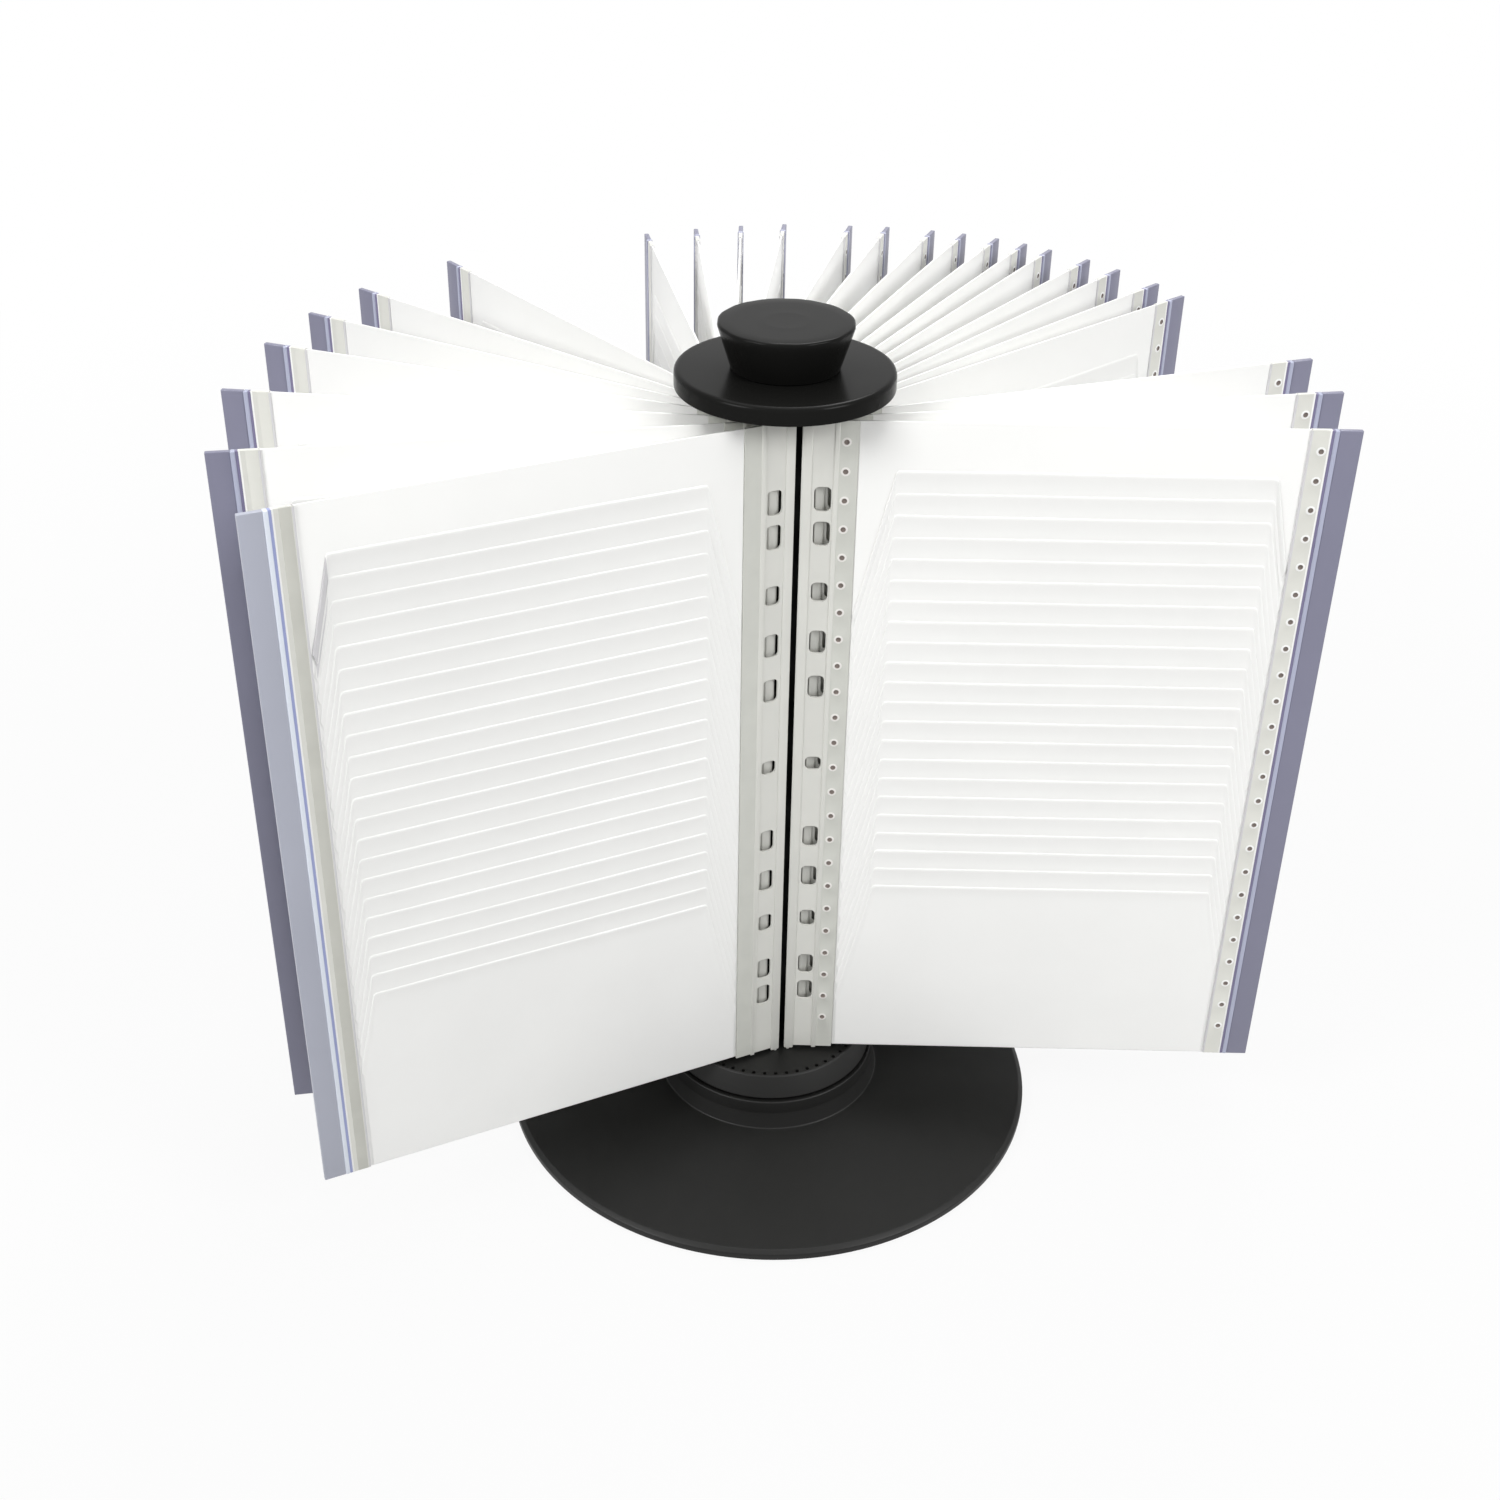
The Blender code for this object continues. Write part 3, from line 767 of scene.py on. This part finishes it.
def dot_cell(along, up, centre, side, pit_shade_slot, strip_slot, lip_slot):
    """Make a flat cell of a strip round one weld dot, a pit on the front side and a bump on the back."""
    cell = bmesh.new()
    outer = bmesh.ops.create_circle(cell, segments=4, radius=1.0)["verts"]
    (start, stop), (bottom, top) = along, up
    spots = ((stop, top), (start, top), (start, bottom), (stop, bottom))
    for vert, (a, b) in zip(outer, spots):
        vert.co = Vector((a * MM, b * MM, 0))
    bmesh.ops.subdivide_edges(cell, edges=list(cell.edges), cuts=2)
    rim = set(cell.edges)
    turn = Matrix.Translation(centre) @ Matrix.Rotation(math.radians(45), 4, "Z")
    bmesh.ops.create_circle(cell, segments=12, radius=DOT_R * DOT_FIELD * MM, matrix=turn)
    ring = [edge for edge in cell.edges if edge not in rim]
    bmesh.ops.bridge_loops(cell, edges=list(rim) + ring)
    size_now = DOT_FIELD
    for size, lift in PIT_RINGS if side < 0 else BUMP_RINGS:
        grown = bmesh.ops.extrude_edge_only(cell, edges=ring)["geom"]
        ring = [item for item in grown if isinstance(item, bmesh.types.BMEdge)]
        for vert in grown:
            if isinstance(vert, bmesh.types.BMVert):
                offset = vert.co - centre
                offset.z = 0
                vert.co = centre + offset * (size / size_now) + Vector((0, 0, lift * MM))
        size_now = size
    bmesh.ops.contextual_create(cell, geom=ring)
    for face in cell.faces:
        out = (face.calc_center_median() - centre).to_2d().length / (DOT_R * MM)
        face.material_index = strip_slot
        if side < 0 and out < 1.6:
            # The pit's floor takes the painted shade of the hole; the lip round it takes its own finish.
            face.material_index = pit_shade_slot if out < 0.95 else lip_slot
    bmesh.ops.recalc_face_normals(cell, faces=cell.faces)
    if sum(face.normal.z * face.calc_area() for face in cell.faces) < 0:
        bmesh.ops.reverse_faces(cell, faces=cell.faces)
    return cell


def dotted_strip(along, half, low, high, dot_at, pit_shade_slot, strip_slot, lip_slot):
    """Make a strip with weld dots: pits with raised lips on the front, low bumps on the back."""
    strip = bmesh.new()
    pitch = sizes().dot_pitch
    for side in (-1, 1):
        for index in range(sizes().dot_count):
            z = TOP_DOT - index * pitch
            top = high if index == 0 else z + pitch / 2
            bottom = low if index == sizes().dot_count - 1 else z - pitch / 2
            centre = Vector((dot_at * MM, z * MM, 0))
            cell = dot_cell(along, (bottom, top), centre, side, pit_shade_slot, strip_slot, lip_slot)
            # Stand the flat cell up on its face of the strip.
            stood = Matrix(((1, 0, 0, 0), (0, 0, side, side * half * MM), (0, 1, 0, 0), (0, 0, 0, 1)))
            bmesh.ops.transform(cell, matrix=stood, verts=cell.verts)
            if side > 0:
                bmesh.ops.reverse_faces(cell, faces=cell.faces)
            join_shape(strip, cell)
    bmesh.ops.remove_doubles(strip, verts=strip.verts, dist=0.01 * MM)
    loops = [edge for edge in strip.edges if edge.is_boundary]
    bmesh.ops.bridge_loops(strip, edges=loops)
    for face in strip.faces:
        if abs(face.normal.y) < 0.3 and face.material_index not in (pit_shade_slot, lip_slot):
            face.material_index = strip_slot
    bmesh.ops.recalc_face_normals(strip, faces=strip.faces)
    return strip


def spine_template():
    """Make one spine in panel coordinates: along the panel, across it and up."""
    shape = bmesh.new()
    rib = (-RIB_HALF, RIB_HALF)
    ridge = (-RIDGE_HALF, RIDGE_HALF)
    add_bar(shape, (RIB_BACK, RIB_FRONT), rib, (FOOT - 1.5, HEAD + 1.5), 0.55)
    add_slotted_web(shape)
    add_bar(shape, (WEB_END, RIDGE_END), ridge, (FOOT - 0.9, HEAD + 0.9), 0.4)
    join_shape(shape, dotted_strip(
        (RIDGE_END - 0.3, STRIP_END), STRIP_HALF, FOOT, HEAD, INNER_DOTS, SPINE_PIT_SHADE, GROOVE, LIP,
    ))
    for middle in (FOOT - 1.0 - PIN_LENGTH / 2, HEAD + 1.0 + PIN_LENGTH / 2):
        bmesh.ops.create_cone(
            shape, cap_ends=True, segments=16, radius1=PIN_R * MM, radius2=PIN_R * MM,
            depth=PIN_LENGTH * MM, matrix=Matrix.Translation((0, 0, middle * MM)),
        )
    return shape


def pocket_outline():
    """Points of a pocket's outline from its top edge: (along, drop) in mm, left foot to right foot."""
    slope = math.tan(POCKET_FLARE)
    left_foot = (LEFT_FOOT, -(POCKET_START - LEFT_FOOT) / slope)
    right_foot = (RIGHT_FOOT, -(RIGHT_FOOT - POCKET_STOP) / slope)
    corners = [left_foot, (POCKET_START, 0.0), (POCKET_STOP, 0.0), right_foot]
    turn = rounded(corners, {1: POCKET_ROUND, 2: POCKET_ROUND}, 4)
    points = []
    for a, b in zip(turn, turn[1:]):
        length = math.dist(a, b)
        parts = max(1, round(length / (9.0 if b[1] == a[1] else 14.0)))
        for part in range(parts):
            t = part / parts
            points.append((a[0] + (b[0] - a[0]) * t, a[1] + (b[1] - a[1]) * t))
    points.append(turn[-1])
    return points


def pocket_rows(last):
    """Rows down a pocket's visible face: (drop, distance from the middle plane) in mm."""
    rows = [(0.35, 0.46), (0.15, 0.6), (0.0, 0.74), (-0.3, 0.84), (-0.8, 0.87), (-1.4, 0.83),
            (-2.4, 0.73), (-3.8, 0.61), (-5.6, 0.54), (-7.4, 0.55)]
    if last:
        return rows + [(-14.0, 0.6), (-40.0, 0.66), (-95.0, 0.66)]
    return rows + [(-9.0, 0.61), (-9.9, 0.62)]


def beside_pockets(vert):
    """Distance in mm by which a point lies beyond the ends of the pockets' top edges."""
    return max(POCKET_START - vert.co.x / MM, vert.co.x / MM - POCKET_STOP)


def raise_pocket(outline, edge_z, rows, paint_side_shadow):
    """Make one pocket's visible face on the leaf's front, row by row from its top edge down."""
    pocket = bmesh.new()
    drop, out = rows[0]
    first = [pocket.verts.new((a * MM, -out * MM, (edge_z + b + drop) * MM)) for a, b in outline]
    edges = [pocket.edges.new(pair) for pair in zip(first, first[1:])]
    for before, row in zip(rows, rows[1:]):
        grown = bmesh.ops.extrude_edge_only(pocket, edges=edges)["geom"]
        verts = [item for item in grown if isinstance(item, bmesh.types.BMVert)]
        edges = [item for item in grown if isinstance(item, bmesh.types.BMEdge)]
        at_edge = row[0] > POCKET_EDGE
        # The first pocket's outer side near its top edge takes a painted shadow.
        if paint_side_shadow and at_edge:
            for face in grown:
                if isinstance(face, bmesh.types.BMFace):
                    if face.calc_center_median().x > (POCKET_STOP + 1) * MM:
                        face.material_index = POCKET_SIDE_SHADOW
        step = (0, (before[1] - row[1]) * MM, (row[0] - before[0]) * MM)
        bmesh.ops.translate(pocket, verts=verts, vec=step)
        # The sides slope in more gently than the top edge does.
        if at_edge:
            for vert in verts:
                inward = 1 if vert.co.x < LEAF_MIDDLE * MM else -1
                lean = min(1, max(0, beside_pockets(vert) / 2))
                vert.co.x += inward * lean * (before[0] - row[0]) * POCKET_LEAN * MM
    return pocket


def settle_pocket(pocket, index):
    """Flatten a pocket's sides and let its film wander by a tenth of a millimetre."""
    for vert in pocket.verts:
        # The first pocket's sides stand clear of the sheet, all the others' lie flat.
        change = -0.55 if index else 1.0 if vert.co.x > LEAF_MIDDLE * MM else 0.3
        share = 1 + change * min(1, max(0, (beside_pockets(vert) + 2.5) / 5))
        vert.co.y = (-POCKET_BACK + (vert.co.y / MM + POCKET_BACK) * share) * MM
        wander = noise.noise(Vector((vert.co.x * 30 + index * 3.1, index * 1.7, vert.co.z * 22)))
        vert.co.y += wander * 0.08 * MM
        vert.co.z += noise.noise(Vector((vert.co.x * 18, index * 2.3, 4.0))) * 0.22 * MM


def add_pockets(shape):
    """Lay the film pockets like shingles down both faces of the leaf."""
    outline = pocket_outline()
    count = sizes().pocket_count
    for index in range(count):
        edge_z = FOOT + sizes().pocket_first - index * sizes().pocket_pitch
        last = index == count - 1
        # The first pocket's outer side, where all the others lie over it, takes a painted shadow.
        pocket = raise_pocket(outline, edge_z, pocket_rows(last), index == 0)
        settle_pocket(pocket, index)
        if last:
            trim_at_foot(pocket)
        bmesh.ops.remove_doubles(pocket, verts=pocket.verts, dist=0.004 * MM)
        back = pocket.copy()
        bmesh.ops.scale(back, vec=(1, -1, 1), verts=back.verts)
        for side, part in ((-1, pocket), (1, back)):
            bmesh.ops.recalc_face_normals(part, faces=part.faces)
            if sum(face.normal.y * face.calc_area() for face in part.faces) * side < 0:
                bmesh.ops.reverse_faces(part, faces=part.faces)
            join_shape(shape, part)


def trim_at_foot(pocket):
    """Cut the last pocket off at the sheet's foot and turn its edge in to the sheet."""
    foot = (SHEET_FOOT + 0.6) * MM
    geom = list(pocket.verts) + list(pocket.edges) + list(pocket.faces)
    cut = bmesh.ops.bisect_plane(
        pocket, geom=geom, plane_co=(0, 0, foot), plane_no=(0, 0, -1), clear_outer=True,
    )["geom_cut"]
    edges = [item for item in cut if isinstance(item, bmesh.types.BMEdge)]
    grown = bmesh.ops.extrude_edge_only(pocket, edges=edges)["geom"]
    for vert in grown:
        if isinstance(vert, bmesh.types.BMVert):
            vert.co.y = -0.4 * MM
            vert.co.z -= 0.04 * MM


def leaf_template():
    """Make one leaf in panel coordinates, with its pockets, outer strip and label channel."""
    shape = bmesh.new()
    up = (SHEET_FOOT, HEAD)
    tongue = (-TONGUE_HALF, TONGUE_HALF)
    sheet = (-SHEET_HALF, SHEET_HALF)
    add_bar(shape, (TONGUE_START, STRIP_END + 1), tongue, up, 0.05, 2)
    add_bar(shape, (STRIP_END + 0.3, OUTER_START + 2), sheet, up, 0.12, 2)
    add_pockets(shape)
    join_shape(shape, dotted_strip(
        (OUTER_START, OUTER_END), OUTER_HALF, *up, OUTER_DOTS, LEAF_PIT_SHADE, STRIP, PLAIN,
    ))
    # Each bar: ranges along and across the panel, width and steps of its soft edge, finish slot.
    bars = (
        # The crease where the film rises on to the outer strip, painted with its shade, and a band on its
        # back that the front leaf paints with shade.
        ((OUTER_START - 0.3, OUTER_START + 0.9), (-0.93, 0.93), 0.4, 3, CREASE_SHADE),
        ((OUTER_START + 0.8, OUTER_START + 5.3), (0.2, 0.95), 0.2, 3, SHADE_BAND),
        # The strip's pale lip, then the seam, fold and flat of the label channel.
        ((OUTER_END - 0.9, OUTER_END), (-0.96, 0.96), 0.2, 3, PLAIN),
        ((OUTER_END - 0.2, OUTER_END + 1.1), (-1.1, 1.1), 0.3, 3, SEAM),
        ((OUTER_END + 0.9, OUTER_END + 2.8), (-1.4, 1.4), 0.5, 4, FOLD),
        ((OUTER_END + 2.7, PANEL_REACH), (-1.05, 1.05), 0.35, 3, LABEL),
    )
    for along, across, soft, steps, slot in bars:
        add_bar(shape, along, across, up, soft, steps, slot)
    return shape


def panel_place(body):
    """Return where a panel stands at rest: its hinge, turned to its leaf's direction."""
    leaf = next(node for node in frame["record"]["behaviour"]["bodies"][body] if "leaf" in node)
    points = [vert.co for vert in frame["nodes"][leaf].data.vertices]
    middle = sum(points, Vector()) / len(points)
    hinge = HINGES[body]
    angle = math.atan2(middle.y - hinge.y, middle.x - hinge.x)
    return Matrix.Translation((hinge.x, hinge.y, 0)) @ Matrix.Rotation(angle, 4, "Z")


def place_on_panels(template, kind, makers, first_makers=None):
    """Copy a finished template onto every panel and stand it for that panel's CAD node.

    The first panel may have finishes of its own.
    """
    mesh = bpy.data.meshes.new(f"{kind}_template")
    template.to_mesh(mesh)
    template.free()
    mesh.shade_smooth()
    mesh.set_sharp_from_angle(angle=math.radians(38))
    for body in PANELS:
        number = body.split("_")[1]
        copy = mesh.copy()
        for maker in first_makers if first_makers and body == PANELS[0] else makers:
            copy.materials.append(finish(maker))
        copy.name = f"{kind}_{number}_detail"
        copy.transform(panel_place(body))
        link_piece(copy.name, copy, body, [f"{kind}_{number}"])
    bpy.data.meshes.remove(mesh)


class CAROUSEL_OT_spines(bpy.types.Operator):
    """Form the moulded spines with their ribs, slots, ridges and weld dots."""

    bl_idname = "carousel.spines"
    bl_label = "Spines"

    def execute(self, context):
        place_on_panels(
            spine_template(), "spine", [moulded_white, painted_pit_shade, weld_lip, pressed_groove],
        )
        return {"FINISHED"}


class CAROUSEL_OT_leaves(bpy.types.Operator):
    """Form the pocket leaves with their outer strips and label channels."""

    bl_idname = "carousel.leaves"
    bl_label = "Pocket leaves"

    def execute(self, context):
        shared = [pocket_film, pressed_strip, painted_pit_shade]
        back = [label_plastic, label_fold, label_seam, painted_crease_shade, pressed_strip, pocket_film]
        # The front leaf's channel is painted paler with sheen and highlight, and its strip and first pocket
        # with shade.
        front = [
            label_plastic_painted_sheen, label_fold_painted_highlight, label_seam_painted_sheen, painted_crease_shade, painted_shade_band, painted_crease_shade,
        ]
        place_on_panels(leaf_template(), "leaf", shared + back, shared + front)
        return {"FINISHED"}


class CAROUSEL_OT_stage(bpy.types.Operator):
    """Set the pale floor, the soft studio lights, the white background and the camera."""

    bl_idname = "carousel.stage"
    bl_label = "Stage"

    def execute(self, context):
        scene = context.scene
        floor_shape = bmesh.new()
        bmesh.ops.create_grid(floor_shape, x_segments=1, y_segments=1, size=6.0)
        mesh = bpy.data.meshes.new("floor")
        floor_shape.to_mesh(mesh)
        floor_shape.free()
        floor = bpy.data.objects.new("floor", mesh)
        scene.collection.objects.link(floor)
        mesh.materials.append(self.floor_material())
        self.set_world(scene)
        for lamp in LAMPS:
            self.add_lamp(*lamp)
        self.add_camera(scene)
        scene.view_settings.view_transform = "Standard"
        return {"FINISHED"}

    def floor_material(self):
        material = bpy.data.materials.new("white_paper_floor")
        material.use_nodes = True
        tree = material.node_tree
        tree.nodes.clear()
        paper = add_node(material, "ShaderNodeBsdfDiffuse", {"Color": linear("#c8c8c8")})
        white = add_node(material, "ShaderNodeEmission", {"Color": (1, 1, 1, 1), "Strength": 1.0})
        # The paper keeps the object's shadow near it and runs out to plain white a metre away.
        place = add_node(material, "ShaderNodeTexCoord").outputs["Object"]
        away = add_node(material, "ShaderNodeVectorMath", {"operation": "LENGTH"}, {0: place})
        whiteness = add_node(
            material, "ShaderNodeMapRange",
            {"interpolation_type": "SMOOTHSTEP", "From Min": 0.25, "From Max": 1.3, "To Min": 0.92,
             "To Max": 1.0},
            {"Value": away.outputs["Value"]},
        )
        share = add_node(
            material, "ShaderNodeMath", {"operation": "MULTIPLY"},
            {0: self.seen_directly(material), 1: whiteness.outputs["Result"]},
        )
        mix = add_node(
            material, "ShaderNodeMixShader", {},
            {0: share.outputs[0], 1: paper.outputs[0], 2: white.outputs[0]},
        )
        add_node(material, "ShaderNodeOutputMaterial", {}, {"Surface": mix.outputs[0]})
        return material

    def seen_directly(self, holder):
        """Return 1 for camera, mirror and see-through rays, and 0 for the light that falls on things."""
        ray = add_node(holder, "ShaderNodeLightPath")
        total = ray.outputs["Is Camera Ray"]
        for name in ("Is Glossy Ray", "Is Transmission Ray"):
            node = add_node(
                holder, "ShaderNodeMath", {"operation": "MAXIMUM"}, {0: total, 1: ray.outputs[name]},
            )
            total = node.outputs[0]
        return total

    def set_world(self, scene):
        world = bpy.data.worlds.new("soft_studio")
        scene.world = world
        world.use_nodes = True
        tree = world.node_tree
        tree.nodes.clear()
        light = add_node(world, "ShaderNodeBackground", {"Color": (1, 1, 1, 1), "Strength": 0.15})
        white = add_node(world, "ShaderNodeBackground", {"Color": (1, 1, 1, 1), "Strength": 1.0})
        mix = add_node(
            world, "ShaderNodeMixShader", {},
            {0: self.seen_directly(world), 1: light.outputs[0], 2: white.outputs[0]},
        )
        add_node(world, "ShaderNodeOutputWorld", {}, {"Surface": mix.outputs[0]})

    def add_lamp(self, name, place, size, watts):
        lamp = bpy.data.lights.new(name, "AREA")
        lamp.shape = "SQUARE"
        lamp.size = size
        lamp.energy = watts
        holder = bpy.data.objects.new(name, lamp)
        holder.location = place
        aim = LAMP_TARGET - Vector(place)
        holder.rotation_euler = aim.to_track_quat("-Z", "Y").to_euler()
        bpy.context.scene.collection.objects.link(holder)

    def add_camera(self, scene):
        ahead = Vector((math.sin(CAMERA_YAW), math.cos(CAMERA_YAW), 0))
        right = Vector((math.cos(CAMERA_YAW), -math.sin(CAMERA_YAW), 0))
        up = Vector((0, 0, 1))
        tilted = ahead * math.cos(CAMERA_PITCH) - up * math.sin(CAMERA_PITCH)
        over = up * math.cos(CAMERA_PITCH) + ahead * math.sin(CAMERA_PITCH)
        side = right * math.cos(CAMERA_ROLL) + over * math.sin(CAMERA_ROLL)
        top = over * math.cos(CAMERA_ROLL) - right * math.sin(CAMERA_ROLL)
        matrix = Matrix((side, top, -tilted)).transposed().to_4x4()
        matrix.translation = CAMERA_PLACE
        data = bpy.data.cameras.new("photo_camera")
        data.sensor_width = SENSOR_MM
        data.lens = SENSOR_MM * FOCAL_PIXELS / PHOTO_PIXELS
        camera = bpy.data.objects.new("photo_camera", data)
        camera.matrix_world = matrix
        scene.collection.objects.link(camera)
        scene.camera = camera


class CAROUSEL_PT_panel(bpy.types.Panel):
    """List the sizes, the colours and the steps in order."""

    bl_idname = "CAROUSEL_PT_panel"
    bl_label = "Filing carousel"
    bl_space_type = "VIEW_3D"
    bl_region_type = "UI"
    bl_category = "Carousel"

    def draw(self, context):
        layout = self.layout
        for group in (context.scene.carousel_sizes, context.scene.carousel_colours):
            for name in group.__annotations__:
                layout.prop(group, name)
        for step in STEPS:
            layout.operator(step.bl_idname)


STEPS = (
    CAROUSEL_OT_base, CAROUSEL_OT_bearing, CAROUSEL_OT_drum, CAROUSEL_OT_disc, CAROUSEL_OT_knob,
    CAROUSEL_OT_spines, CAROUSEL_OT_leaves, CAROUSEL_OT_stage,
)
CLASSES = (CarouselSizes, CarouselColours, *STEPS, CAROUSEL_PT_panel)


def register():
    for cls in CLASSES:
        bpy.utils.register_class(cls)
    bpy.types.Scene.carousel_sizes = bpy.props.PointerProperty(type=CarouselSizes)
    bpy.types.Scene.carousel_colours = bpy.props.PointerProperty(type=CarouselColours)


def unregister():
    del bpy.types.Scene.carousel_colours
    del bpy.types.Scene.carousel_sizes
    for cls in reversed(CLASSES):
        bpy.utils.unregister_class(cls)


def main():
    register()
    for step in STEPS:
        group, action = step.bl_idname.split(".")
        getattr(getattr(bpy.ops, group), action)()


if __name__ == "__main__":
    main()
